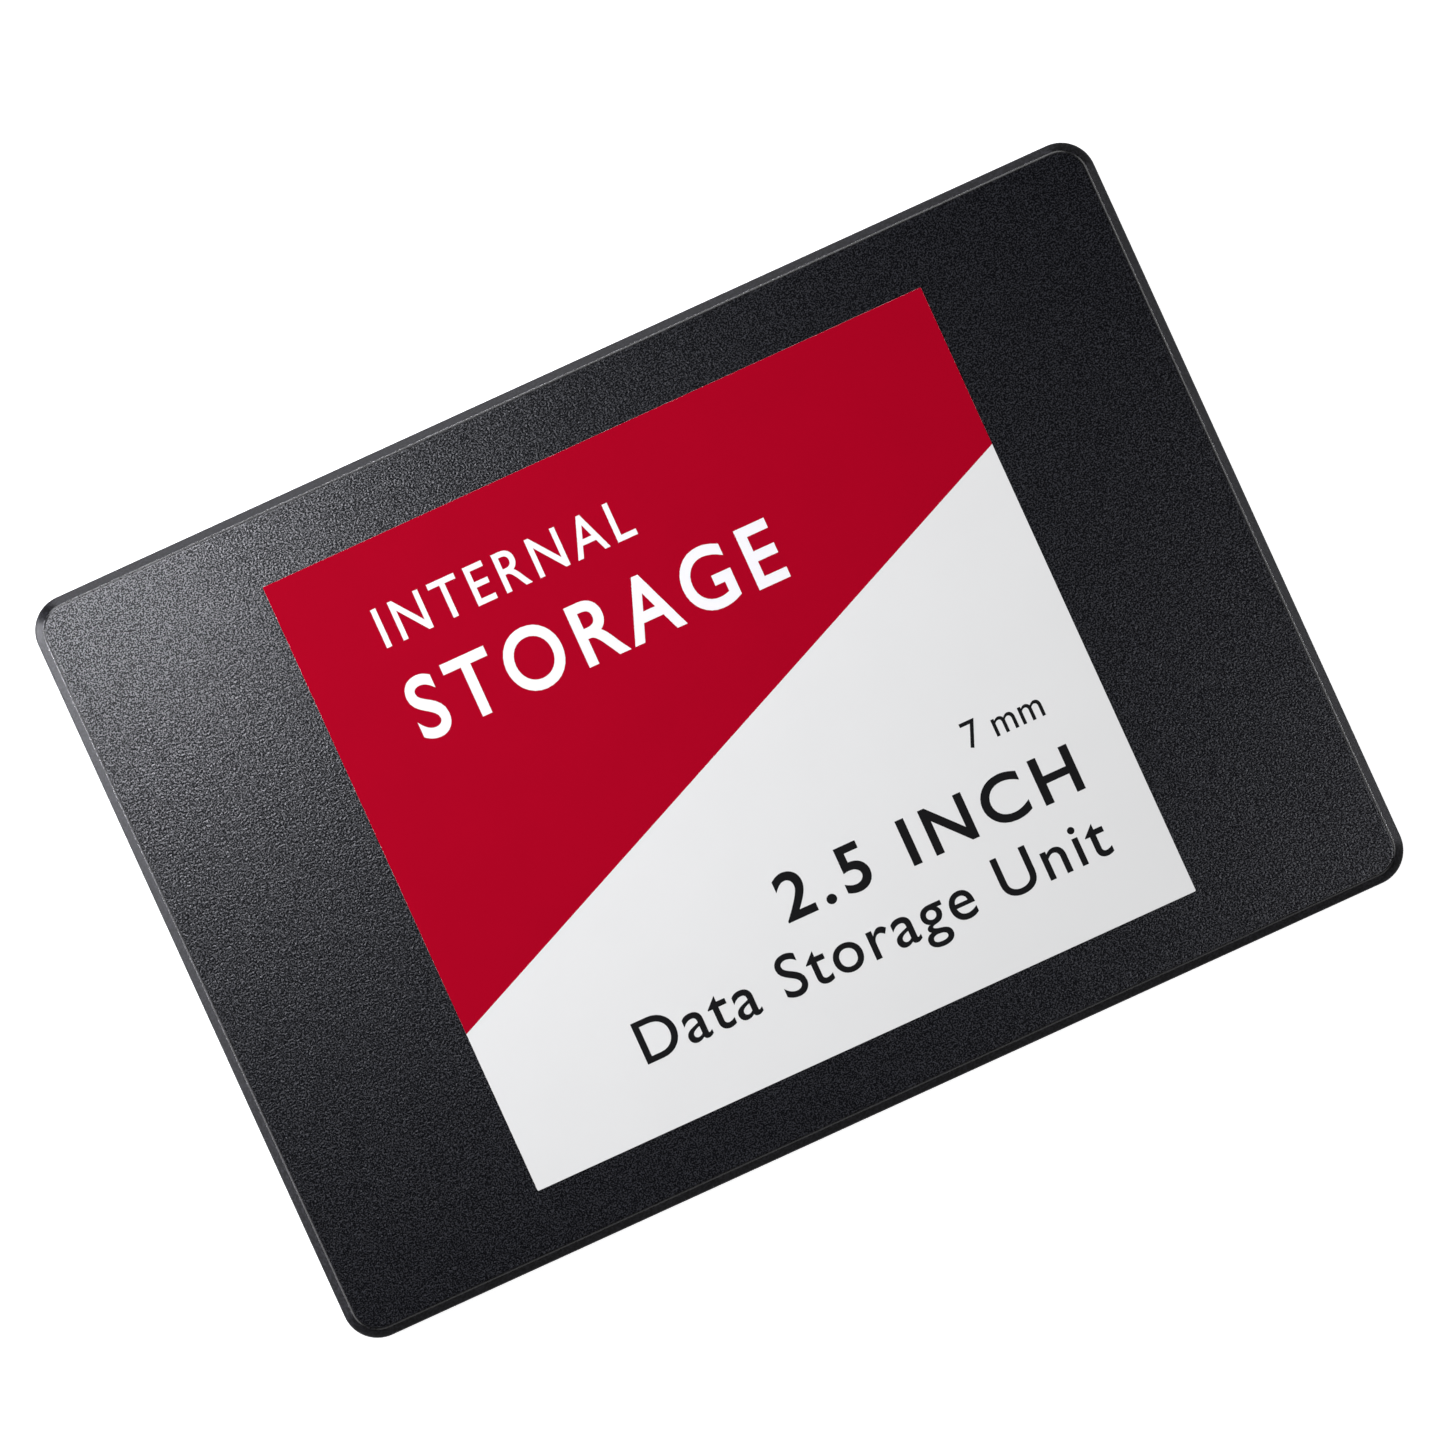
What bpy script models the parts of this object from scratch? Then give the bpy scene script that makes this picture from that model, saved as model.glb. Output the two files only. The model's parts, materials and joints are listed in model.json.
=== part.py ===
"""A 2.5-inch solid state drive, 7 mm high, as its separate pieces.

The drive lies label up. X runs along its length with the connector at +X, Y across its width, and Z up
from the underside. The origin is the middle of the underside. All sizes below are in millimetres; they
are scaled to metres where a mesh or a place is made.
"""

import math

import bmesh
import bpy
from mathutils import Matrix, Vector

MM = 0.001

# Outline of the drive
LENGTH = 100.0
WIDTH = 69.85
HEIGHT = 7.0
CORNER_RADIUS = 3.1
CORNER_STEPS = 7
LEAST_RADIUS = 0.5
HALF_LENGTH = LENGTH / 2
HALF_WIDTH = WIDTH / 2

# Shells
WALL = 1.2
FLOOR = 1.0
FOOT_CHAMFER = 0.4
SEAM_LOW = 5.15
SEAM_HIGH = 5.25
RIM_CHAMFER = 0.65
PLATE = 0.8
LIP_GAP = 0.1
LIP_WALL = 0.7
LIP_BOTTOM = 4.6

# Cutters run this far past the faces that they open
PAST = 1.0

# Labels
FILM = 0.08
FILM_GAP = 0.02
FRONT_LABEL_SIZE = (62.35, 57.2)
FRONT_LABEL_CENTRE = (0.825, -0.275)
REAR_LABEL_SIZE = (59.6, 41.6)
REAR_RECESS_SIZE = (60.0, 42.0)
REAR_RECESS = 0.15
REAR_FILM_BOTTOM = 0.03
REAR_LABEL_RADIUS = 1.2

COVER_TOP = HEIGHT - FILM - FILM_GAP
COVER_UNDERSIDE = COVER_TOP - PLATE

# Mounting holes of the form factor: tapping holes for M3 screws
MOUNT_X = (HALF_LENGTH - 14.0, HALF_LENGTH - 90.6)
MOUNT_SIDE_Z = 3.0
MOUNT_BOTTOM_INSET = 4.07
MOUNT_HOLE_RADIUS = 1.25
MOUNT_MOUTH_RADIUS = 1.6
MOUNT_MOUTH = 0.35
MOUNT_SIDE_DEPTH = 2.5
MOUNT_BOTTOM_DEPTH = 2.8
MOUNT_BOSS_LENGTH = 5.4
MOUNT_BOSS_INSET = 6.6
MOUNT_BOSS_TOP = 4.4

# Case screws, one near each corner, driven from the underside
CASE_SCREW_INSET = 3.6
CASE_BOSS_RADIUS = 2.8
CASE_BOSS_TOP = 2.6
COVER_BOSS_RADIUS = 2.0
COVER_BOSS_BOTTOM = 2.7
CASE_BORE_RADIUS = 1.95
CASE_BORE = 0.95
CASE_HOLE_RADIUS = 1.0
CASE_PILOT_RADIUS = 0.83
CASE_PILOT_TOP = 5.4
CASE_HEAD_RADIUS = 1.8
CASE_HEAD_BOTTOM = 0.15
CASE_HEAD_TOP = 0.9
CASE_SHANK_RADIUS = 0.78
CASE_SCREW_TOP = 5.2
CASE_HEAD_BEVEL = 0.15
CASE_HEAD_RIM = 0.2
SCREW_TIP_TAPER = 0.3
SCREW_TIP = 0.4
SOCKET_RADIUS = 0.85
SOCKET_DEPTH = 0.45
SOCKET_LOBES = 6
SOCKET_WAIST = 0.72

# Circuit board and the screws that hold it on its standoffs
BOARD_BACK = -24.0
BOARD_FRONT = 42.5
BOARD_HALF_WIDTH = 27.5
BOARD_BOTTOM = 1.9
BOARD_TOP = 2.9
BOARD_RADIUS = 1.0
BOARD_SCREWS = ((38.0, -24.0), (-20.5, -24.0), (-20.5, 24.0))
STANDOFF_RADIUS = 2.2
STANDOFF_TOP = 1.82
STANDOFF_HOLE_RADIUS = 0.72
STANDOFF_HOLE_BOTTOM = 0.5
BOARD_HOLE_RADIUS = 0.9
BOARD_HEAD_RADIUS = 1.6
BOARD_HEAD_HEIGHT = 0.55
BOARD_SHANK_RADIUS = 0.66
BOARD_HEAD_BEVEL = 0.2
BOARD_HEAD_LIFT = 0.07
BOARD_TIP_TAPER = 0.25
BOARD_TIP = 0.3
BOARD_SCREW_BOTTOM = 0.7
SOLDER_GAP = 0.03

# Connector: 7 signal and 15 power contacts on two tongues, each with a key foot at its inner end
PITCH = 1.27
SIGNAL_COUNT = 7
POWER_COUNT = 15
SEGMENT_GAP = 6.35
CONNECTOR_CENTRE_Y = 4.8
OUTER_MARGIN = 0.82
INNER_MARGIN = 1.97
FOOT_WIDTH = 1.2
FOOT_TOP = 4.67
TONGUE_BOTTOM = 2.27
TONGUE_TOP = 3.45
TONGUE_TIP = 49.6
TONGUE_BEVEL = 0.35
FOOT_SETBACK = 0.4
HOUSING_BACK = 42.7
HOUSING_WALL_FRONT = 44.8
HOUSING_BOTTOM = 1.15
HOUSING_TOP = 5.6
HOUSING_HALF_WIDTH = 20.8
ARM_WIDTH = 1.8
ARM_CHAMFER = 0.8
ARM_SETBACK = 0.05
EAR_BACK = 38.9
EAR_WIDTH = 2.4
EAR_BOTTOM = 2.98
EAR_FRONT = 43.45
EAR_TOP = 4.9
FUSE = 0.02
WINDOW_GAP = 0.2
WINDOW_DEPTH = 0.6
WINDOW_BOTTOM = 1.05
WINDOW_TOP = 5.75

# Contacts: flat strips in grooves on the tongues, stepping down to solder tails on the board
CONTACT_WIDTH = 0.8
CONTACT_THICKNESS = 0.15
CONTACT_TOP = 3.5
CONTACT_TIPS = (49.2, 48.75, 48.3)
CONTACT_STEP_FRONT = 42.25
CONTACT_STEP_BACK = 41.95
CONTACT_TAIL = 40.6
CONTACT_SLANT = 0.06
GROOVE_CLEARANCE = 0.03
GROOVE_FRONT = 49.3
GROOVE_TOP = 3.62
FIRST_MATE = {"signal": (), "power": (4, 12)}
SECOND_MATE = {"signal": (1, 4, 7), "power": (3, 5, 6, 7, 10, 13)}

# Board locks: forked plates in the housing's ears
LOCK_BACK = 39.8
LOCK_FRONT = 41.6
LOCK_THICKNESS = 0.35
LOCK_BOTTOM = 1.45
LOCK_TOP = 4.4
LOCK_FORK = 0.4
LOCK_CLEARANCE = 0.06
LOCK_SLOT_WIDTH = 0.8
LOCK_SLOT_END = 0.15
LOCK_LEAD = 0.2
LOCK_NECK = 0.1
LOCK_FORK_TOP = 3.2
LOCK_POCKET_BOTTOM = 2.4

# Packages on the board: length along X, width along Y, height, then their places on the board
FLASH_SIZE = (14.0, 18.0, 1.1)
FLASH_PLACES = ((-12.0, -11.0), (-12.0, 11.0), (4.0, -11.0), (4.0, 11.0))
CONTROLLER_SIZE = (14.0, 14.0, 1.2)
CONTROLLER_PLACE = (21.5, -6.0)
BUFFER_SIZE = (7.6, 11.0, 1.0)
BUFFER_PLACE = (19.0, 13.0)
POWER_CHIP_SIZE = (5.0, 5.0, 0.8)
POWER_CHIP_PLACE = (33.0, 13.0)
INDUCTOR_SIZE = (4.0, 4.0, 1.8)
INDUCTOR_PLACES = ((33.0, 19.8), (27.0, 19.8))
CRYSTAL_SIZE = (3.2, 2.5, 0.8)
CRYSTAL_PLACE = (32.0, -6.0)
CAPACITOR_SIZE = (3.2, 1.6, 1.4)
CAPACITOR_ROW_X = 36.6
CAPACITOR_ROW_START = 1.0
CAPACITOR_ROW_PITCH = 2.6
CAPACITOR_COUNT = 8
CHIP_EDGE = 0.12

# Thermal pads fill the height between the packages and the cover
PAD_GAP = 0.05
FLASH_PAD_SIZE = (28.0, 38.0)
FLASH_PAD_CENTRE = (-4.0, 0.0)
CONTROLLER_PAD_SIZE = (12.5, 12.5)
PAD_RADIUS = 0.8

ROUND_STEPS = 20
SMOOTH_ANGLE = math.radians(35)

# Colour, roughness and metallic value of each finish
FINISHES = {
    "shell": ((0.012, 0.0125, 0.014), 0.42, 0.0),
    "front_film": ((0.41, 0.0, 0.016), 0.38, 0.0),
    "rear_film": ((0.72, 0.72, 0.72), 0.45, 0.0),
    "screw": ((0.55, 0.55, 0.57), 0.3, 1.0),
    "board": ((0.008, 0.03, 0.05), 0.4, 0.0),
    "housing": ((0.015, 0.015, 0.015), 0.5, 0.0),
    "contact": ((0.83, 0.6, 0.23), 0.22, 1.0),
    "tin": ((0.62, 0.62, 0.6), 0.35, 1.0),
    "package": ((0.02, 0.02, 0.022), 0.55, 0.0),
    "ferrite": ((0.08, 0.08, 0.085), 0.6, 0.0),
    "ceramic": ((0.42, 0.3, 0.19), 0.5, 0.0),
    "pad": ((0.3, 0.36, 0.42), 0.85, 0.0),
}


def clear_scene():
    for obj in list(bpy.data.objects):
        bpy.data.objects.remove(obj)


def make_material(name, finish):
    colour, roughness, metallic = FINISHES[finish]
    material = bpy.data.materials.new(name + "_finish")
    material.use_nodes = True
    shader = material.node_tree.nodes["Principled BSDF"]
    shader.inputs["Base Color"].default_value = (*colour, 1.0)
    shader.inputs["Roughness"].default_value = roughness
    shader.inputs["Metallic"].default_value = metallic
    material.diffuse_color = (*colour, 1.0)
    return material


def place(obj, centre, parent):
    obj.location = Vector(centre) * MM
    obj.parent = parent


def add_object(name, bm, finish=None, centre=(0.0, 0.0, 0.0), parent=None):
    """The finished piece from a mesh in millimetres. Without a finish it is a cutter or a guide."""
    bmesh.ops.transform(bm, matrix=Matrix.Scale(MM, 4), verts=bm.verts)
    mesh = bpy.data.meshes.new(name)
    bm.to_mesh(mesh)
    bm.free()
    obj = bpy.data.objects.new(name, mesh)
    bpy.context.scene.collection.objects.link(obj)
    place(obj, centre, parent)
    if finish:
        mesh.materials.append(make_material(name, finish))
        mesh.shade_smooth()
        mesh.set_sharp_from_angle(angle=SMOOTH_ANGLE)
    else:
        obj.hide_render = True
        obj.display_type = "WIRE"
    return obj


def add_boolean(obj, operand, operation):
    modifier = obj.modifiers.new(operand.name, "BOOLEAN")
    modifier.operation = operation
    modifier.object = operand
    modifier.solver = "EXACT"


def rounded_outline(length, width, radius, steps=CORNER_STEPS, centre=(0.0, 0.0)):
    """Corner points of a rectangle with round corners, anticlockwise from the +X +Y corner."""
    points = []
    for quarter, (sx, sy) in enumerate(((1, 1), (-1, 1), (-1, -1), (1, -1))):
        middle_x = centre[0] + sx * (length / 2 - radius)
        middle_y = centre[1] + sy * (width / 2 - radius)
        for step in range(steps + 1):
            angle = math.pi / 2 * (quarter + step / steps)
            points.append((middle_x + radius * math.cos(angle), middle_y + radius * math.sin(angle)))
    return points


def drive_outline(inset):
    return rounded_outline(LENGTH - 2 * inset, WIDTH - 2 * inset, max(CORNER_RADIUS - inset, LEAST_RADIUS))


def add_loft(bm, rings):
    """One closed body through outlines with equal point counts. Each ring is (outline, z)."""
    loops = [[bm.verts.new((x, y, z)) for x, y in outline] for outline, z in rings]
    count = len(loops[0])
    for low, high in zip(loops, loops[1:]):
        for i in range(count):
            j = (i + 1) % count
            bm.faces.new((low[i], low[j], high[j], high[i]))
    bm.faces.new(reversed(loops[0]))
    bm.faces.new(loops[-1])


def add_box(bm, low, high):
    outline = [(high[0], high[1]), (low[0], high[1]), (low[0], low[1]), (high[0], low[1])]
    add_loft(bm, [(outline, low[2]), (outline, high[2])])


def add_round(bm, profile, centre=(0.0, 0.0), steps=ROUND_STEPS):
    """A turned body. The profile is (radius, z) from its bottom to its top."""
    rings = []
    for radius, z in profile:
        turn = [2 * math.pi * i / steps for i in range(steps)]
        rings.append(([(centre[0] + radius * math.cos(a), centre[1] + radius * math.sin(a)) for a in turn], z))
    add_loft(bm, rings)


def add_plate(bm, outline, low_y, high_y):
    """A flat piece cut to an outline of (x, z) points, anticlockwise seen from -Y."""
    near = [bm.verts.new((x, low_y, z)) for x, z in outline]
    far = [bm.verts.new((x, high_y, z)) for x, z in outline]
    count = len(outline)
    for i in range(count):
        j = (i + 1) % count
        bm.faces.new((near[j], near[i], far[i], far[j]))
    bm.faces.new(near)
    bm.faces.new(reversed(far))


def corner_places():
    x = HALF_LENGTH - CASE_SCREW_INSET
    y = HALF_WIDTH - CASE_SCREW_INSET
    return [(x, y), (-x, y), (-x, -y), (x, -y)]


def connector_window(bm, low_x):
    low_y = CONNECTOR_CENTRE_Y - HOUSING_HALF_WIDTH - WINDOW_GAP
    high_y = CONNECTOR_CENTRE_Y + HOUSING_HALF_WIDTH + WINDOW_GAP
    add_box(bm, (low_x, low_y, WINDOW_BOTTOM), (HALF_LENGTH + PAST, high_y, WINDOW_TOP))


def add_mount_hole(bm, x, side):
    """The side hole and the bottom hole at one mounting place, each with a bevelled mouth."""
    slope = (MOUNT_MOUTH_RADIUS - MOUNT_HOLE_RADIUS) / MOUNT_MOUTH
    profile = [(MOUNT_MOUTH_RADIUS + PAST * slope, -PAST), (MOUNT_HOLE_RADIUS, MOUNT_MOUTH)]
    y = side * (HALF_WIDTH - MOUNT_BOTTOM_INSET)
    add_round(bm, profile + [(MOUNT_HOLE_RADIUS, MOUNT_BOTTOM_DEPTH)], (x, y))
    hole = bmesh.new()
    add_round(hole, profile + [(MOUNT_HOLE_RADIUS, MOUNT_SIDE_DEPTH)])
    turn = Matrix.Rotation(side * math.pi / 2, 4, "X")
    move = Matrix.Translation((x, side * HALF_WIDTH, MOUNT_SIDE_Z))
    bmesh.ops.transform(hole, matrix=move @ turn, verts=hole.verts)
    spare = bpy.data.meshes.new("side_hole")
    hole.to_mesh(spare)
    hole.free()
    bm.from_mesh(spare)
    bpy.data.meshes.remove(spare)


def make_bottom_case(drive):
    shell = bmesh.new()
    add_loft(shell, [
        (drive_outline(FOOT_CHAMFER), 0.0),
        (drive_outline(0.0), FOOT_CHAMFER),
        (drive_outline(0.0), SEAM_LOW),
        (drive_outline(WALL), SEAM_LOW),
        (drive_outline(WALL), FLOOR),
    ])
    case = add_object("bottom_case", shell, "shell", parent=drive)

    bosses = bmesh.new()
    sunk = FLOOR / 2
    for place_xy in corner_places():
        add_round(bosses, [(CASE_BOSS_RADIUS, sunk), (CASE_BOSS_RADIUS, CASE_BOSS_TOP)], place_xy)
    for place_xy in BOARD_SCREWS:
        add_round(bosses, [(STANDOFF_RADIUS, sunk), (STANDOFF_RADIUS, STANDOFF_TOP)], place_xy)
    for x in MOUNT_X:
        for side in (1, -1):
            ends = sorted((side * (HALF_WIDTH - MOUNT_BOSS_INSET), side * (HALF_WIDTH - WALL / 2)))
            low = (x - MOUNT_BOSS_LENGTH / 2, ends[0], sunk)
            high = (x + MOUNT_BOSS_LENGTH / 2, ends[1], MOUNT_BOSS_TOP)
            add_box(bosses, low, high)
    add_boolean(case, add_object("case_bosses", bosses, parent=drive), "UNION")

    holes = bmesh.new()
    for place_xy in corner_places():
        add_round(holes, [(CASE_BORE_RADIUS, -PAST), (CASE_BORE_RADIUS, CASE_BORE)], place_xy)
    for place_xy in BOARD_SCREWS:
        profile = [(STANDOFF_HOLE_RADIUS, STANDOFF_HOLE_BOTTOM), (STANDOFF_HOLE_RADIUS, STANDOFF_TOP + PAST)]
        add_round(holes, profile, place_xy)
    for x in MOUNT_X:
        for side in (1, -1):
            add_mount_hole(holes, x, side)
    connector_window(holes, HALF_LENGTH - WALL - WINDOW_DEPTH)
    recess = rounded_outline(*REAR_RECESS_SIZE, REAR_LABEL_RADIUS)
    add_loft(holes, [(recess, -PAST), (recess, REAR_RECESS)])
    add_boolean(case, add_object("case_holes", holes, parent=drive), "DIFFERENCE")

    shank_holes = bmesh.new()
    for place_xy in corner_places():
        profile = [(CASE_HOLE_RADIUS, -PAST), (CASE_HOLE_RADIUS, CASE_BOSS_TOP + PAST)]
        add_round(shank_holes, profile, place_xy)
    add_boolean(case, add_object("case_shank_holes", shank_holes, parent=drive), "DIFFERENCE")


def make_top_cover(drive):
    lip_outer = WALL + LIP_GAP
    lip_inner = lip_outer + LIP_WALL
    shell = bmesh.new()
    add_loft(shell, [
        (drive_outline(lip_inner), COVER_UNDERSIDE),
        (drive_outline(lip_inner), LIP_BOTTOM),
        (drive_outline(lip_outer), LIP_BOTTOM),
        (drive_outline(lip_outer), SEAM_HIGH),
        (drive_outline(0.0), SEAM_HIGH),
        (drive_outline(0.0), COVER_TOP - RIM_CHAMFER),
        (drive_outline(RIM_CHAMFER), COVER_TOP),
    ])
    cover = add_object("top_cover", shell, "shell", parent=drive)

    bosses = bmesh.new()
    for place_xy in corner_places():
        middle = COVER_TOP - PLATE / 2
        add_round(bosses, [(COVER_BOSS_RADIUS, COVER_BOSS_BOTTOM), (COVER_BOSS_RADIUS, middle)], place_xy)
    add_boolean(cover, add_object("cover_bosses", bosses, parent=drive), "UNION")

    holes = bmesh.new()
    for place_xy in corner_places():
        profile = [(CASE_PILOT_RADIUS, COVER_BOSS_BOTTOM - PAST), (CASE_PILOT_RADIUS, CASE_PILOT_TOP)]
        add_round(holes, profile, place_xy)
    connector_window(holes, HALF_LENGTH - lip_inner - WINDOW_DEPTH)
    add_boolean(cover, add_object("cover_holes", holes, parent=drive), "DIFFERENCE")


def make_labels(drive):
    film = bmesh.new()
    add_box(film, [-side / 2 for side in FRONT_LABEL_SIZE] + [0.0], [side / 2 for side in FRONT_LABEL_SIZE] + [FILM])
    add_object("front_label", film, "front_film", (*FRONT_LABEL_CENTRE, HEIGHT - FILM), drive)

    film = bmesh.new()
    outline = rounded_outline(*REAR_LABEL_SIZE, REAR_LABEL_RADIUS)
    add_loft(film, [(outline, 0.0), (outline, FILM)])
    add_object("rear_label", film, "rear_film", (0.0, 0.0, REAR_FILM_BOTTOM), drive)


def add_socket(screw, z, depth, parent, centre):
    """A six-lobed drive recess, cut from z to z + depth, where depth may be negative."""
    star = bmesh.new()
    outline = []
    for i in range(2 * SOCKET_LOBES):
        radius = SOCKET_RADIUS * (1.0 if i % 2 else SOCKET_WAIST)
        angle = math.pi / SOCKET_LOBES * i
        outline.append((radius * math.cos(angle), radius * math.sin(angle)))
    past = z - math.copysign(PAST, depth)
    add_loft(star, [(outline, min(past, z + depth)), (outline, max(past, z + depth))])
    add_boolean(screw, add_object(screw.name + "_socket", star, centre=centre, parent=parent), "DIFFERENCE")


def make_case_screws(drive):
    for number, place_xy in enumerate(corner_places(), 1):
        body = bmesh.new()
        add_round(body, [
            (CASE_HEAD_RADIUS - CASE_HEAD_BEVEL, CASE_HEAD_BOTTOM),
            (CASE_HEAD_RADIUS, CASE_HEAD_BOTTOM + CASE_HEAD_RIM),
            (CASE_HEAD_RADIUS, CASE_HEAD_TOP),
            (CASE_SHANK_RADIUS, CASE_HEAD_TOP),
            (CASE_SHANK_RADIUS, CASE_SCREW_TOP - SCREW_TIP),
            (CASE_SHANK_RADIUS - SCREW_TIP_TAPER, CASE_SCREW_TOP),
        ])
        centre = (*place_xy, 0.0)
        screw = add_object(f"case_screw_{number}", body, "screw", centre, drive)
        add_socket(screw, CASE_HEAD_BOTTOM, SOCKET_DEPTH, drive, centre)


def make_board_screws(board):
    head_top = BOARD_HEAD_LIFT + BOARD_HEAD_HEIGHT
    bottom = BOARD_SCREW_BOTTOM - BOARD_TOP
    for number, place_xy in enumerate(BOARD_SCREWS, 1):
        body = bmesh.new()
        add_round(body, [
            (BOARD_SHANK_RADIUS - BOARD_TIP_TAPER, bottom),
            (BOARD_SHANK_RADIUS, bottom + BOARD_TIP),
            (BOARD_SHANK_RADIUS, BOARD_HEAD_LIFT),
            (BOARD_HEAD_RADIUS, BOARD_HEAD_LIFT),
            (BOARD_HEAD_RADIUS, head_top - BOARD_HEAD_BEVEL),
            (BOARD_HEAD_RADIUS - BOARD_HEAD_BEVEL, head_top),
        ])
        centre = (*place_xy, 0.0)
        screw = add_object(f"board_screw_{number}", body, "screw", centre, board)
        add_socket(screw, head_top, -SOCKET_DEPTH, board, centre)


def lock_places():
    reach = HOUSING_HALF_WIDTH - EAR_WIDTH / 2
    return [CONNECTOR_CENTRE_Y - reach, CONNECTOR_CENTRE_Y + reach]


def make_circuit_board(drive):
    length = BOARD_FRONT - BOARD_BACK
    middle = (BOARD_FRONT + BOARD_BACK) / 2
    slab = bmesh.new()
    outline = rounded_outline(length, 2 * BOARD_HALF_WIDTH, BOARD_RADIUS, centre=(middle, 0.0))
    add_loft(slab, [(outline, BOARD_BOTTOM), (outline, BOARD_TOP)])
    slab_object = add_object("circuit_board", slab, "board", parent=drive)

    holes = bmesh.new()
    for place_xy in BOARD_SCREWS:
        profile = [(BOARD_HOLE_RADIUS, BOARD_BOTTOM - PAST), (BOARD_HOLE_RADIUS, BOARD_TOP + PAST)]
        add_round(holes, profile, place_xy)
    for y in lock_places():
        low = (LOCK_BACK - LOCK_SLOT_END, y - LOCK_SLOT_WIDTH / 2, BOARD_BOTTOM - PAST)
        high = (LOCK_FRONT + LOCK_SLOT_END, y + LOCK_SLOT_WIDTH / 2, BOARD_TOP + PAST)
        add_box(holes, low, high)
    add_boolean(slab_object, add_object("board_holes", holes, parent=drive), "DIFFERENCE")


def contact_places():
    """Kind, number and Y of each contact, from the first signal contact to the last power contact."""
    span = (SIGNAL_COUNT - 1 + POWER_COUNT - 1) * PITCH + SEGMENT_GAP
    first_signal = CONNECTOR_CENTRE_Y - span / 2
    first_power = first_signal + (SIGNAL_COUNT - 1) * PITCH + SEGMENT_GAP
    signal = [("signal", i + 1, first_signal + i * PITCH) for i in range(SIGNAL_COUNT)]
    power = [("power", i + 1, first_power + i * PITCH) for i in range(POWER_COUNT)]
    return signal + power


def make_connector_housing(drive):
    wall_low = (HOUSING_BACK, CONNECTOR_CENTRE_Y - HOUSING_HALF_WIDTH, HOUSING_BOTTOM)
    wall_high = (HOUSING_WALL_FRONT, CONNECTOR_CENTRE_Y + HOUSING_HALF_WIDTH, HOUSING_TOP)
    wall = bmesh.new()
    add_box(wall, wall_low, wall_high)
    housing = add_object("connector_housing", wall, "housing", parent=drive)

    sunk = (HOUSING_BACK + HOUSING_WALL_FRONT) / 2
    places = {(kind, number): y for kind, number, y in contact_places()}
    signal_low = places["signal", 1] - OUTER_MARGIN
    signal_high = places["signal", SIGNAL_COUNT] + INNER_MARGIN
    power_low = places["power", 1] - INNER_MARGIN
    power_high = places["power", POWER_COUNT] + OUTER_MARGIN

    tongues = bmesh.new()
    for low_y, high_y in ((signal_low, signal_high), (power_low, power_high)):
        outline = [
            (sunk, TONGUE_BOTTOM),
            (TONGUE_TIP - TONGUE_BEVEL, TONGUE_BOTTOM),
            (TONGUE_TIP, TONGUE_BOTTOM + TONGUE_BEVEL),
            (TONGUE_TIP, TONGUE_TOP - TONGUE_BEVEL / 2),
            (TONGUE_TIP - TONGUE_BEVEL / 2, TONGUE_TOP),
            (sunk, TONGUE_TOP),
        ]
        add_plate(tongues, outline, low_y, high_y)
    add_boolean(housing, add_object("tongues", tongues, parent=drive), "UNION")

    feet = bmesh.new()
    for low_y in (signal_high - FOOT_WIDTH - FUSE, power_low + FUSE):
        low = (sunk + FOOT_SETBACK / 2, low_y, (TONGUE_BOTTOM + TONGUE_TOP) / 2)
        add_box(feet, low, (TONGUE_TIP - FOOT_SETBACK, low_y + FOOT_WIDTH, FOOT_TOP))
    for side in (1, -1):
        outer = CONNECTOR_CENTRE_Y + side * (HOUSING_HALF_WIDTH - FUSE)
        near = (TONGUE_TIP - ARM_CHAMFER, outer - side * ARM_WIDTH)
        tip = (TONGUE_TIP, outer - side * (ARM_WIDTH - ARM_CHAMFER))
        arm = [(sunk, outer), (sunk, outer - side * ARM_WIDTH), near, tip, (TONGUE_TIP, outer)]
        if side < 0:
            arm.reverse()
        add_loft(feet, [(arm, HOUSING_BOTTOM + ARM_SETBACK), (arm, HOUSING_TOP - ARM_SETBACK)])
        ends = sorted((outer, outer - side * EAR_WIDTH))
        add_box(feet, (EAR_BACK, ends[0], EAR_BOTTOM), (EAR_FRONT, ends[1], EAR_TOP))
    add_boolean(housing, add_object("feet_and_arms", feet, parent=drive), "UNION")

    grooves = bmesh.new()
    half = CONTACT_WIDTH / 2 + GROOVE_CLEARANCE
    floor = CONTACT_TOP - CONTACT_THICKNESS - GROOVE_CLEARANCE
    for _, _, y in contact_places():
        add_box(grooves, (HOUSING_BACK - PAST, y - half, floor), (GROOVE_FRONT, y + half, GROOVE_TOP))
    for y in lock_places():
        reach = LOCK_THICKNESS / 2 + LOCK_CLEARANCE
        low = (LOCK_BACK - LOCK_CLEARANCE, y - reach, LOCK_POCKET_BOTTOM)
        add_box(grooves, low, (LOCK_FRONT + LOCK_CLEARANCE, y + reach, LOCK_TOP + LOCK_CLEARANCE))
    add_boolean(housing, add_object("grooves", grooves, parent=drive), "DIFFERENCE")


def contact_tip(kind, number):
    if number in FIRST_MATE[kind]:
        return CONTACT_TIPS[0]
    if number in SECOND_MATE[kind]:
        return CONTACT_TIPS[1]
    return CONTACT_TIPS[2]


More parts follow.
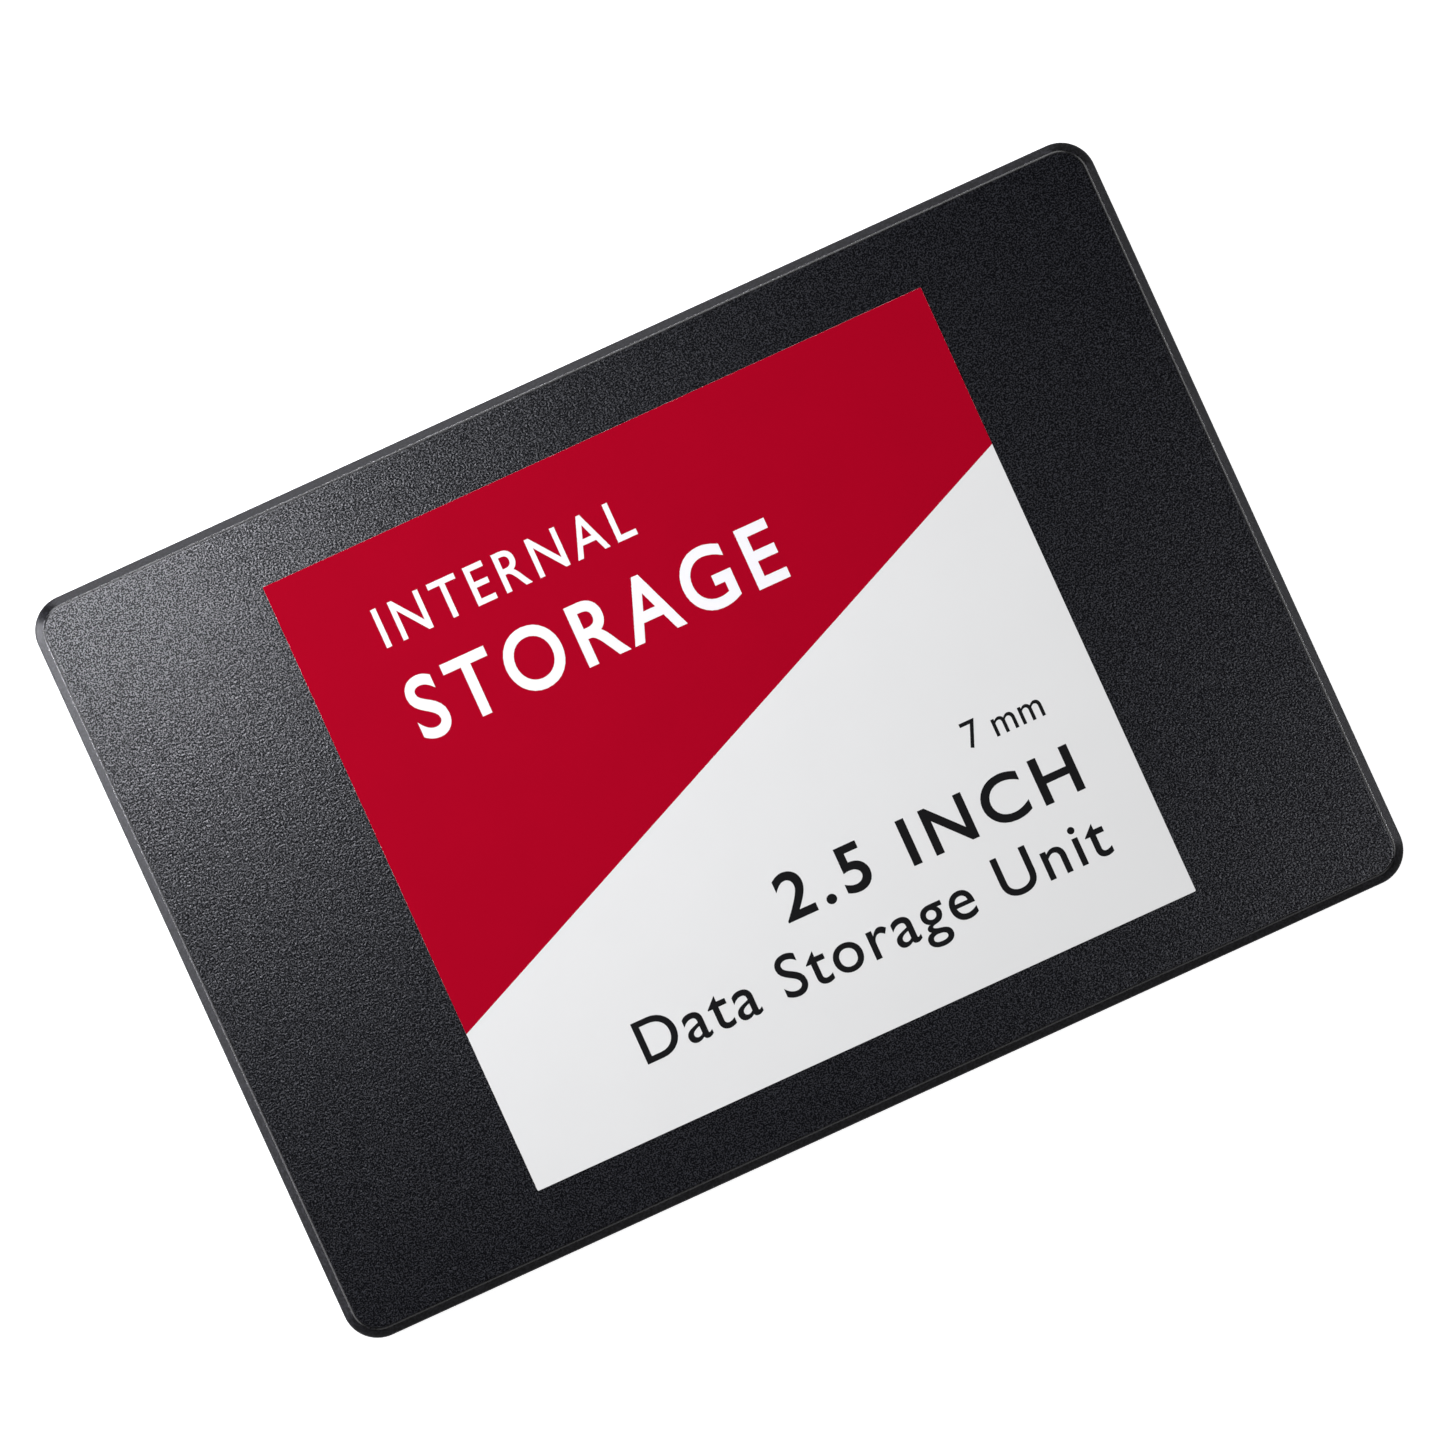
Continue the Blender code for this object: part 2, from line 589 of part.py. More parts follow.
def make_contacts(drive):
    low = CONTACT_TOP - CONTACT_THICKNESS
    tail_low = BOARD_TOP + SOLDER_GAP
    tail_high = tail_low + CONTACT_THICKNESS
    for kind, number, y in contact_places():
        tip = contact_tip(kind, number)
        outline = [
            (CONTACT_TAIL, tail_low),
            (CONTACT_STEP_BACK + CONTACT_SLANT, tail_low),
            (CONTACT_STEP_FRONT + CONTACT_SLANT, low),
            (tip, low),
            (tip, CONTACT_TOP - CONTACT_THICKNESS / 2),
            (tip - CONTACT_THICKNESS, CONTACT_TOP),
            (CONTACT_STEP_FRONT - CONTACT_SLANT, CONTACT_TOP),
            (CONTACT_STEP_BACK - CONTACT_SLANT, tail_high),
            (CONTACT_TAIL, tail_high),
        ]
        strip = bmesh.new()
        add_plate(strip, outline, -CONTACT_WIDTH / 2, CONTACT_WIDTH / 2)
        add_object(f"{kind}_contact_{number}", strip, "contact", (0.0, y, 0.0), drive)


def make_board_locks(drive):
    middle = (LOCK_BACK + LOCK_FRONT) / 2
    outline = [
        (LOCK_BACK + LOCK_LEAD, LOCK_BOTTOM),
        (middle - LOCK_FORK / 2, LOCK_BOTTOM),
        (middle - LOCK_FORK / 2, LOCK_FORK_TOP),
        (middle + LOCK_FORK / 2, LOCK_FORK_TOP),
        (middle + LOCK_FORK / 2, LOCK_BOTTOM),
        (LOCK_FRONT - LOCK_LEAD, LOCK_BOTTOM),
        (LOCK_FRONT, BOARD_BOTTOM - LOCK_NECK),
        (LOCK_FRONT, LOCK_TOP),
        (LOCK_BACK, LOCK_TOP),
        (LOCK_BACK, BOARD_BOTTOM - LOCK_NECK),
    ]
    for number, y in enumerate(lock_places(), 1):
        plate = bmesh.new()
        add_plate(plate, outline, -LOCK_THICKNESS / 2, LOCK_THICKNESS / 2)
        add_object(f"board_lock_{number}", plate, "tin", (0.0, y, 0.0), drive)


def make_package(name, size, place_xy, finish, board):
    """A chip or a component standing on the board, with a bevelled upper edge."""
    length, width, height = size
    body = bmesh.new()
    outline = rounded_outline(length, width, CHIP_EDGE, 1)
    top = rounded_outline(length - 2 * CHIP_EDGE, width - 2 * CHIP_EDGE, CHIP_EDGE / 2, 1)
    add_loft(body, [(outline, 0.0), (outline, height - CHIP_EDGE), (top, height)])
    add_object(name, body, finish, (*place_xy, SOLDER_GAP), board)


def make_components(board):
    for number, place_xy in enumerate(FLASH_PLACES, 1):
        make_package(f"flash_chip_{number}", FLASH_SIZE, place_xy, "package", board)
    make_package("controller_chip", CONTROLLER_SIZE, CONTROLLER_PLACE, "package", board)
    make_package("buffer_chip", BUFFER_SIZE, BUFFER_PLACE, "package", board)
    make_package("power_chip", POWER_CHIP_SIZE, POWER_CHIP_PLACE, "package", board)
    make_package("crystal", CRYSTAL_SIZE, CRYSTAL_PLACE, "tin", board)
    for number, place_xy in enumerate(INDUCTOR_PLACES, 1):
        make_package(f"inductor_{number}", INDUCTOR_SIZE, place_xy, "ferrite", board)
    for i in range(CAPACITOR_COUNT):
        place_xy = (CAPACITOR_ROW_X, CAPACITOR_ROW_START + (i - CAPACITOR_COUNT + 1) * CAPACITOR_ROW_PITCH)
        make_package(f"capacitor_{i + 1}", CAPACITOR_SIZE, place_xy, "ceramic", board)


def make_pad(name, size, centre, package_height, board):
    bottom = SOLDER_GAP + package_height + PAD_GAP
    top = COVER_UNDERSIDE - BOARD_TOP - PAD_GAP
    sheet = bmesh.new()
    outline = rounded_outline(*size, PAD_RADIUS)
    add_loft(sheet, [(outline, bottom), (outline, top)])
    add_object(name, sheet, "pad", (*centre, 0.0), board)


def main():
    clear_scene()
    drive = bpy.data.objects.new("drive", None)
    board = bpy.data.objects.new("board_top", None)
    for empty in (drive, board):
        bpy.context.scene.collection.objects.link(empty)
    place(board, (0.0, 0.0, BOARD_TOP), drive)
    make_bottom_case(drive)
    make_top_cover(drive)
    make_labels(drive)
    make_case_screws(drive)
    make_circuit_board(drive)
    make_board_screws(board)
    make_connector_housing(drive)
    make_contacts(drive)
    make_board_locks(drive)
    make_components(board)
    make_pad("flash_pad", FLASH_PAD_SIZE, FLASH_PAD_CENTRE, FLASH_SIZE[2], board)
    make_pad("controller_pad", CONTROLLER_PAD_SIZE, CONTROLLER_PLACE, CONTROLLER_SIZE[2], board)


main()
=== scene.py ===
import json
import math
from contextlib import contextmanager

import bmesh
import bpy
from mathutils import Matrix, Vector

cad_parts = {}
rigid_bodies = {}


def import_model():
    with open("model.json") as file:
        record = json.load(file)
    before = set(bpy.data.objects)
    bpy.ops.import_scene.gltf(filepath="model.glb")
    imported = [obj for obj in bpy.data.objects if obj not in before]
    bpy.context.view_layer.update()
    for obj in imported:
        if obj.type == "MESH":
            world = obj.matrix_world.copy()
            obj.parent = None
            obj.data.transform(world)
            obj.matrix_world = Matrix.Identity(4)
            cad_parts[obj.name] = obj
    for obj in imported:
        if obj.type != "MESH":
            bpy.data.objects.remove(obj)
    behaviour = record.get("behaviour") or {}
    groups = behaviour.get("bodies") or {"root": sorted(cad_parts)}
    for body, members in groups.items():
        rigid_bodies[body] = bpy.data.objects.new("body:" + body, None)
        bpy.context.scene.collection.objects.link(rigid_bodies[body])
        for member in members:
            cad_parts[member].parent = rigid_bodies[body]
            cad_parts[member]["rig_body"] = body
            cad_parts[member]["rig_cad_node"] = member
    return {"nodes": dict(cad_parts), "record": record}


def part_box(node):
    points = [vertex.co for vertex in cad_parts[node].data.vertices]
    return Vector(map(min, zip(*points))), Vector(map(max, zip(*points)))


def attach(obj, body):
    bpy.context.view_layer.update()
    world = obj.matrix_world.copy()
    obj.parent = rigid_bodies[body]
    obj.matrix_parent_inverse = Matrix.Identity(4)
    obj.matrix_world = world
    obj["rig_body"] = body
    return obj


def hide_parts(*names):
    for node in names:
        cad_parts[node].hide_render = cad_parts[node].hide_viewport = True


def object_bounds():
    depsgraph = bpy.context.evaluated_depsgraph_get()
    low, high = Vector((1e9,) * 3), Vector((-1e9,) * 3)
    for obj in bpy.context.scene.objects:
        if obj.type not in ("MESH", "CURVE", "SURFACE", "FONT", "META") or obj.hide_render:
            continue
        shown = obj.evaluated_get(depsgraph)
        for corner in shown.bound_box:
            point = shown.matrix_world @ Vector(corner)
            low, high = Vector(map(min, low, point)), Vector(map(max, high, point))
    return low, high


mm = 0.001
hair = 0.001 * mm  # smaller than any detail

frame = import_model()
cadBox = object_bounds()
nodes = frame["nodes"]
print("frame loaded:", len(nodes), "nodes")

driveLow, driveHigh = cadBox
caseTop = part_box("bottom_case")[1].z
coverLow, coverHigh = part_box("top_cover")
housingLow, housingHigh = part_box("connector_housing")


# working the meshes

def deselectAll():
    bpy.ops.object.select_all(action="DESELECT")


def takeUp(piece):
    deselectAll()
    piece.select_set(True)
    bpy.context.view_layer.objects.active = piece


@contextmanager
def editing(piece, kind="FACE"):
    takeUp(piece)
    bpy.ops.object.mode_set(mode="EDIT")
    bpy.ops.mesh.select_mode(type=kind)
    bpy.ops.mesh.select_all(action="DESELECT")
    yield
    bpy.ops.object.mode_set(mode="OBJECT")


def pickFaces(piece, test):
    bpy.ops.mesh.select_all(action="DESELECT")
    shape = bmesh.from_edit_mesh(piece.data)
    for face in shape.faces:
        face.select_set(test(face.calc_center_median(), face.normal))
    bmesh.update_edit_mesh(piece.data)


def pickEdges(piece, test):
    bpy.ops.mesh.select_all(action="DESELECT")
    shape = bmesh.from_edit_mesh(piece.data)
    for edge in shape.edges:
        edge.select_set(test(edge.verts[0].co, edge.verts[1].co))
    bmesh.update_edit_mesh(piece.data)


def pickPoints(piece, test):
    bpy.ops.mesh.select_all(action="DESELECT")
    shape = bmesh.from_edit_mesh(piece.data)
    for point in shape.verts:
        point.select_set(test(point.co))
    shape.select_flush(True)
    bmesh.update_edit_mesh(piece.data)


def settle(piece):  # its place goes into its mesh
    takeUp(piece)
    bpy.ops.object.transform_apply(location=True, rotation=True, scale=True)


def addBlock(name, low, high):
    deselectAll()
    low, high = Vector(low), Vector(high)
    bpy.ops.mesh.primitive_cube_add(size=1, location=(low + high) / 2)
    piece = bpy.context.active_object
    piece.name = piece.data.name = name
    piece.scale = high - low
    settle(piece)
    return piece


def addTurned(name, centre, profile, vertices=40):  # profile is (radius, height) from one end
    deselectAll()
    x, y = centre
    radius, z = profile[0]
    bpy.ops.mesh.primitive_circle_add(
        vertices=vertices, radius=radius, fill_type="NGON", location=(x, y, z),
    )
    piece = bpy.context.active_object
    piece.name = piece.data.name = name
    settle(piece)
    takeUp(piece)
    bpy.ops.object.mode_set(mode="EDIT")
    bpy.ops.mesh.select_mode(type="FACE")
    bpy.ops.mesh.select_all(action="SELECT")
    for nextRadius, nextZ in profile[1:]:
        bpy.ops.mesh.extrude_region_move(TRANSFORM_OT_translate={"value": (0, 0, nextZ - z)})
        share = nextRadius / radius
        bpy.ops.transform.resize(value=(share, share, 1), center_override=(x, y, nextZ))
        radius, z = nextRadius, nextZ
    bpy.ops.mesh.select_all(action="SELECT")
    bpy.ops.mesh.normals_make_consistent(inside=False)
    bpy.ops.object.mode_set(mode="OBJECT")
    return piece


def finishWith(piece, kind, **settings):
    modifier = piece.modifiers.new(kind.title(), kind)
    for key, value in settings.items():
        setattr(modifier, key, value)
    takeUp(piece)
    bpy.ops.object.modifier_apply(modifier=modifier.name)


def join(piece, other):
    finishWith(piece, "BOOLEAN", operation="UNION", object=other, solver="MANIFOLD")
    bpy.data.objects.remove(other)


def carve(piece, cutter):
    finishWith(piece, "BOOLEAN", operation="DIFFERENCE", object=cutter, solver="MANIFOLD")
    bpy.data.objects.remove(cutter)


def mend(piece):  # no slivers left by the cuts
    with editing(piece, "VERT"):
        bpy.ops.mesh.select_all(action="SELECT")
        bpy.ops.mesh.remove_doubles(threshold=hair)
        bpy.ops.mesh.dissolve_degenerate(threshold=hair)


def easeEdges(piece, width, segments=2, angle=30):
    finishWith(
        piece, "BEVEL", width=width, segments=segments, limit_method="ANGLE",
        angle_limit=math.radians(angle), use_clamp_overlap=True, harden_normals=False,
    )


def smooth(piece, angle=35):
    takeUp(piece)
    bpy.ops.object.shade_smooth_by_angle(angle=math.radians(angle))
    finishWith(piece, "WEIGHTED_NORMAL", keep_sharp=True, weight=100)


def copyPiece(piece, name):
    twin = piece.copy()
    twin.data = piece.data.copy()
    twin.name = twin.data.name = name
    bpy.context.scene.collection.objects.link(twin)
    return twin


def coat(piece, *materials):  # the first goes on every face
    piece.data.materials.clear()
    for material in materials:
        piece.data.materials.append(material)
    for face in piece.data.polygons:
        face.material_index = 0


def place(piece, slotName, *replaced):
    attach(piece, "root")
    if replaced:
        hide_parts(*replaced)


# finishes

class Wire:
    def __init__(self, tree, socket):
        self.tree = tree
        self.socket = socket

    def maths(self, operation, first, second):
        node = self.tree.nodes.new("ShaderNodeMath")
        node.operation = operation
        for socket, value in zip(node.inputs, (first, second)):
            if isinstance(value, Wire):
                self.tree.links.new(value.socket, socket)
            else:
                socket.default_value = value
        return Wire(self.tree, node.outputs[0])

    def __add__(self, other):
        return self.maths("ADD", self, other)

    def __mul__(self, other):
        return self.maths("MULTIPLY", self, other)


class Finish:
    def __init__(self, name, **constants):
        self.material = bpy.data.materials.new(name)
        self.material.use_nodes = True
        self.tree = self.material.node_tree
        self.shader = self.tree.nodes["Principled BSDF"]
        for socketName, value in constants.items():
            self.shader.inputs[socketName.replace("_", " ")].default_value = value
        self.place = self.node("ShaderNodeTexCoord", {}, {}, "Object")

    def node(self, kind, settings, sockets, output=0):
        node = self.tree.nodes.new(kind)
        for key, value in settings.items():
            setattr(node, key, value)
        for key, value in sockets.items():
            if isinstance(value, Wire):
                self.tree.links.new(value.socket, node.inputs[key])
            else:
                node.inputs[key].default_value = value
        return Wire(self.tree, node.outputs[output])

    def noise(self, size, detail=2.0, roughness=0.5, where=None):  # size of its features in metres
        sockets = {
            "Vector": where or self.place, "Scale": 1 / size, "Detail": detail, "Roughness": roughness,
        }
        return self.node("ShaderNodeTexNoise", {}, sockets, "Fac")

    def fade(self, value, low, high, start=0.0, end=1.0):  # low to high becomes start to end
        sockets = {
            "Value": value, "From Min": low, "From Max": high, "To Min": start, "To Max": end,
        }
        return self.node("ShaderNodeMapRange", {}, sockets)

    def blend(self, share, first, second):  # of two colours
        sockets = {0: share, 6: (*first, 1) if isinstance(first, tuple) else first}
        sockets[7] = (*second, 1) if isinstance(second, tuple) else second
        return self.node("ShaderNodeMix", {"data_type": "RGBA"}, sockets, 2)

    def feed(self, socketName, wire):
        self.tree.links.new(wire.socket, self.shader.inputs[socketName])

    def pitShade(self, share):  # painted shade: this share of the surface is unlit black, standing in for shade in the grain's pits
        black = {
            "Base Color": (0.0002, 0.0003, 0.0008, 1), "Roughness": 0.9, "Specular IOR Level": 0.0,
        }
        paintedPitShade = self.node("ShaderNodeBsdfPrincipled", {}, black)
        surface = Wire(self.tree, self.shader.outputs[0])
        mix = self.node("ShaderNodeMixShader", {}, {0: share, 1: surface, 2: paintedPitShade})
        self.tree.links.new(mix.socket, self.tree.nodes["Material Output"].inputs["Surface"])

    def raiseBy(self, height, depth):  # bump of this depth in metres
        bump = self.node("ShaderNodeBump", {}, {"Height": height, "Distance": depth, "Strength": 1.0})
        self.feed("Normal", bump)


powderCoat = {
    "face": ((0.0001, 0.0004, 0.0028), (0.0078, 0.0090, 0.0150)),  # dark and light of its mottle
    "rim": ((0.0001, 0.0001, 0.0004), (0.0074, 0.0072, 0.0096)),
    "mottle": (0.40, 0.75),  # of the grain, from dark to light
    "grain": 0.21 * mm,
    "grainDepth": 0.020 * mm,
    # size of the pits where shade is painted
    "pitShade": 0.128 * mm,
    "pitShadeFade": (0.66, 0.42),  # of the painted pit shade's noise, from none to full painted shade
    "pitShadeAside": (0.3, 0.2, 0.1),  # so that the painted pit shade doesn't follow the grain
    "uneven": 0.02,
}


def makeShellCoat(name, colours, grainShare, shine, roughness, pitShadeShare=0.0):
    powder = powderCoat
    finish = Finish(name, Specular_IOR_Level=shine)
    grain = finish.noise(powder["grain"], 0.0)
    finish.feed("Base Color", finish.blend(finish.fade(grain, *powder["mottle"]), *colours))
    smoothest, roughest = roughness - powder["uneven"], roughness + powder["uneven"]
    finish.feed("Roughness", finish.fade(grain, 0.30, 0.70, smoothest, roughest))
    finish.raiseBy(grain, powder["grainDepth"] * grainShare)
    # painted shade: an unlit black shader is mixed in at the grain's pits
    if pitShadeShare:
        sockets = {0: finish.place, 1: powder["pitShadeAside"]}
        aside = finish.node("ShaderNodeVectorMath", {"operation": "ADD"}, sockets)
        pitShadeNoise = finish.noise(powder["pitShade"], 0.0, 0.5, aside)
        finish.pitShade(finish.fade(pitShadeNoise, *powder["pitShadeFade"], 0.0, pitShadeShare))
    return finish.material


printInk = {
    "red": (0.342, 0.0001, 0.0125),
    "pale": (0.690, 0.690, 0.676),
    "white": (0.80, 0.79, 0.80),
    "black": (0.009, 0.009, 0.0095),
    "shine": 0.02,
    "cloud": 6 * mm,
    "wave": 2.5 * mm,
    "tooth": 0.12 * mm,
    "toothDepth": 0.0012 * mm,
}


def makeInk(name, shade, roughness, mottle=0.03):
    colour = printInk[shade]
    finish = Finish(name, Specular_IOR_Level=printInk["shine"])
    cloud = finish.noise(printInk["cloud"], 3.0)
    tooth = finish.noise(printInk["tooth"], 1.0)
    wave = finish.noise(printInk["wave"], 2.0)
    deep = tuple(c * (1 - mottle) for c in colour)
    finish.feed("Base Color", finish.blend(finish.fade(cloud, 0.3, 0.7), deep, colour))
    finish.feed("Roughness", tooth * 0.06 + roughness)
    finish.raiseBy(tooth * 0.6 + wave * 0.4, printInk["toothDepth"])
    return finish.material


def makeMetal(name, colour, tarnish, roughness, streak=(1, 1, 1), size=0.4 * mm):
    finish = Finish(name, Metallic=1.0)
    sockets = {0: finish.place, 1: streak}
    along = finish.node("ShaderNodeVectorMath", {"operation": "MULTIPLY"}, sockets)
    brushed = finish.noise(size, 3.0, 0.6, along)
    cloud = finish.noise(size * 8, 2.0)
    finish.feed("Base Color", finish.blend(finish.fade(cloud, 0.35, 0.7), colour, tarnish))
    finish.feed("Roughness", brushed * 0.14 + cloud * 0.08 + (roughness - 0.11))
    finish.raiseBy(brushed, 0.003 * mm)
    return finish.material


def makePlastic(name, colour, roughness, grain=0.12 * mm, depth=0.003 * mm):
    finish = Finish(name, Specular_IOR_Level=0.45)
    speckle = finish.noise(grain, 2.0, 0.6)
    cloud = finish.noise(grain * 20, 2.0)
    lift = tuple(min(1, c * 1.35 + 0.004) for c in colour)
    mottle = finish.fade(speckle * 0.6 + cloud * 0.4, 0.35, 0.65)
    finish.feed("Base Color", finish.blend(mottle, colour, lift))
    finish.feed("Roughness", speckle * 0.1 + (roughness - 0.05))
    finish.raiseBy(speckle, depth)
    return finish.material


boardSkin = {
    "dark": (0.004, 0.022, 0.040),
    "light": (0.010, 0.050, 0.075),
    "cell": 2.2 * mm,
    "tracksPerCell": 42.0,
    "trackHeight": 0.015 * mm,
}


def makeBoardMask(name):  # solder mask with the tracks showing through
    finish = Finish(name, Specular_IOR_Level=0.5)
    squared = finish.node(
        "ShaderNodeTexVoronoi", {"feature": "F1", "distance": "CHEBYCHEV"},
        {"Vector": finish.place, "Scale": 1 / boardSkin["cell"]}, "Distance",
    )
    rings = squared * boardSkin["tracksPerCell"]
    waves = finish.node("ShaderNodeMath", {"operation": "SINE"}, {0: rings})
    tracks = finish.fade(waves, 0.1, 0.3)
    finish.feed("Base Color", finish.blend(tracks, boardSkin["dark"], boardSkin["light"]))
    finish.feed("Roughness", tracks * 0.08 + 0.30)
    finish.raiseBy(tracks, boardSkin["trackHeight"])
    return finish.material


# the last number is the share of the shell's face that gets painted pit shade
shellCoat = makeShellCoat("shellCoat", powderCoat["face"], 1.0, 0.86, 0.35, 0.86)
rimCoat = makeShellCoat("rimCoat", powderCoat["rim"], 0.2, 0.07, 0.36)
edgeCoat = makeShellCoat("edgeCoat", powderCoat["rim"], 0.2, 0.66, 0.28)
redInk = makeInk("redInk", "red", 0.56)
paleInk = makeInk("paleInk", "pale", 0.56, 0.012)
whiteInk = makeInk("whiteInk", "white", 0.40, 0.012)
blackInk = makeInk("blackInk", "black", 0.38)
screwSteel = makeMetal("screwSteel", (0.34, 0.34, 0.36), (0.22, 0.22, 0.235), 0.30)
contactGold = makeMetal(
    "contactGold", (0.86, 0.60, 0.22), (0.74, 0.49, 0.17), 0.20, (0.15, 1, 1), 0.15 * mm,
)
lockTin = makeMetal("lockTin", (0.63, 0.63, 0.61), (0.48, 0.48, 0.47), 0.34)
connectorPlastic = makePlastic("connectorPlastic", (0.010, 0.010, 0.011), 0.42)
chipPlastic = makePlastic("chipPlastic", (0.016, 0.016, 0.018), 0.55, 0.09 * mm)
ferrite = makePlastic("ferrite", (0.07, 0.07, 0.075), 0.6, 0.2 * mm)
ceramic = makePlastic("ceramic", (0.40, 0.28, 0.18), 0.45, 0.2 * mm)
padRubber = makePlastic("padRubber", (0.28, 0.34, 0.40), 0.85, 0.35 * mm, 0.01 * mm)
boardMask = makeBoardMask("boardMask")
print("finishes made")

slotFinish = {
    "cover_shell": shellCoat, "case_shell": shellCoat,
    "label_print": redInk, "rear_label_film": paleInk, "screw_steel": screwSteel,
    "board_laminate": boardMask, "connector_plastic": connectorPlastic,
    "contact_gold": contactGold, "lock_tin": lockTin, "chip_package": chipPlastic,
    "inductor_ferrite": ferrite, "capacitor_ceramic": ceramic, "thermal_pad": padRubber,
}


def dressFrame():
    for row in frame["record"]["subparts"]:
        node = nodes[row["node"]]
        node.data.materials.clear()
        node.data.materials.append(slotFinish[row["material_slot"]])


dressFrame()


# the two shells

shell = {
    "corner": 3.1 * mm,
    "cornerSteps": 18,
    "chamfer": 0.79 * mm,
    "edge": 0.15 * mm,
    "seamEdge": 0.08 * mm,
    "wall": 1.2 * mm,
    "floor": 1.0 * mm,
    "seam": 0.1 * mm,
    "footRound": 0.4 * mm,
    "past": mm,  # how far a cutter reaches into the open
}

window = {
    "gap": 0.2 * mm,
    "low": 1.05 * mm,
    "high": 5.75 * mm,
    "coverDepth": 2.6 * mm,
    "caseDepth": 1.8 * mm,
}


def middle(nodeName):
    low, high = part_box(nodeName)
    return ((low + high) / 2).xy


screwSpots = [middle(f"case_screw_{number}") for number in range(1, 5)]
boardSpots = [middle(f"board_screw_{number}") for number in range(1, 4)]


def addRoundedSlab(name, low, high):
    piece = addBlock(name, low, high)
    with editing(piece, "EDGE"):
        pickEdges(piece, lambda a, b: abs(a.z - b.z) > hair)
        bpy.ops.mesh.bevel(offset=shell["corner"], segments=shell["cornerSteps"], affect="EDGES")
    return piece


def pushOut(z):
    bpy.ops.mesh.extrude_region_move(TRANSFORM_OT_translate={"value": (0, 0, z)})


def addPin(name, spot, radius, low, high, vertices=40):
    return addTurned(name, spot, [(radius, low), (radius, high)], vertices)


def windowCutter(depth):
    low = (driveHigh.x - depth, housingLow.y - window["gap"], window["low"])
    high = (driveHigh.x + shell["past"], housingHigh.y + window["gap"], window["high"])
    return addBlock("window", low, high)


coverSizes = {
    "plate": 0.8 * mm,
    "lip": 0.65 * mm,  # how far its lip reaches into the case
    "lipWall": 0.7 * mm,
    "boss": 2.0 * mm,
    "pilot": 0.83 * mm,
    "pilotTop": 5.4 * mm,
}


def makeCover():
    sizes = coverSizes
    seamTop = caseTop + shell["seam"]
    top = coverHigh.z
    low, high = (driveLow.x, driveLow.y, seamTop), (driveHigh.x, driveHigh.y, top)
    cover = addRoundedSlab("coverShell", low, high)
    with editing(cover, "EDGE"):
        pickEdges(cover, lambda a, b: min(a.z, b.z) > top - hair)
        bpy.ops.mesh.bevel(offset=shell["chamfer"], segments=1, affect="EDGES")
        foot = top - shell["chamfer"]
        pickEdges(cover, lambda a, b: min(a.z, b.z) > foot - hair and abs(a.z - b.z) < hair)
        bpy.ops.mesh.bevel(offset=shell["edge"], segments=4, affect="EDGES")
        pickEdges(cover, lambda a, b: max(a.z, b.z) < seamTop + hair)
        bpy.ops.mesh.bevel(offset=shell["seamEdge"], segments=2, affect="EDGES")
        bpy.ops.mesh.select_mode(type="FACE")
        pickFaces(cover, lambda c, n: n.z < -0.99)
        bpy.ops.mesh.inset(thickness=shell["wall"] + shell["seam"] - shell["seamEdge"])
        pushOut(-sizes["lip"])
        bpy.ops.mesh.inset(thickness=sizes["lipWall"])
        pushOut(top - sizes["plate"] - (seamTop - sizes["lip"]))
    for spot in screwSpots:
        join(cover, addPin("boss", spot, sizes["boss"], coverLow.z, top - sizes["plate"] / 2))
    for spot in screwSpots:
        carve(cover, addPin("pilot", spot, sizes["pilot"], shell["floor"], sizes["pilotTop"]))
    carve(cover, windowCutter(window["coverDepth"]))
    mend(cover)
    smooth(cover)
    coat(cover, shellCoat, rimCoat, edgeCoat)
    rimFoot = top - shell["chamfer"] - shell["edge"]
    for face in cover.data.polygons:
        steep = face.normal.z
        if face.center.z > rimFoot and 0.02 < steep < 0.995:
            face.material_index = 2 if steep > 0.75 else 1
    place(cover, "cover_shell", "top_cover")


mountHole = {
    "along": (driveHigh.x - 14.0 * mm, driveHigh.x - 90.6 * mm),
    "bottomInset": 4.07 * mm,
    "sideHeight": 3.0 * mm,
    "core": 1.25 * mm,
    "crest": 1.48 * mm,
    "mouth": 1.62 * mm,
    "lead": 0.36 * mm,
    "flare": 0.3 * mm,
    "pitch": 0.5 * mm,
    "bottomDepth": 2.8 * mm,
    "sideDepth": 2.5 * mm,
    "bossHalf": 2.7 * mm,
    "bossInset": 6.6 * mm,
    "bossTop": 4.4 * mm,
}


def addThreadCutter(depth, mouthAt, turn):  # a bore with thread grooves
    hole = mountHole
    mouth, core, pitch = hole["mouth"], hole["core"], hole["pitch"]
    profile = [(mouth + hole["flare"], hole["flare"]), (mouth, 0), (core, -hole["lead"])]
    z = -hole["lead"]
    while z - pitch > -depth:
        profile.append((core, z - 0.08 * mm))
        profile.append((hole["crest"], z - pitch / 2))
        profile.append((core, z - pitch + 0.04 * mm))
        z -= pitch
    profile.append((core, -depth))
    cutter = addTurned("thread", (0, 0), profile, 48)
    cutter.rotation_euler.x = turn
    cutter.location = mouthAt
    settle(cutter)
    return cutter


caseSizes = {
    "boss": 2.8 * mm,
    "bossTop": 2.6 * mm,
    "headBore": 1.95 * mm,
    "headSeat": 0.95 * mm,
    "shankBore": 1.0 * mm,
    "shankTop": 4 * mm,
    "standoff": 2.2 * mm,
    "standoffTop": 1.82 * mm,
    "boardBore": 0.72 * mm,
    "boardBoreTop": 3 * mm,
}


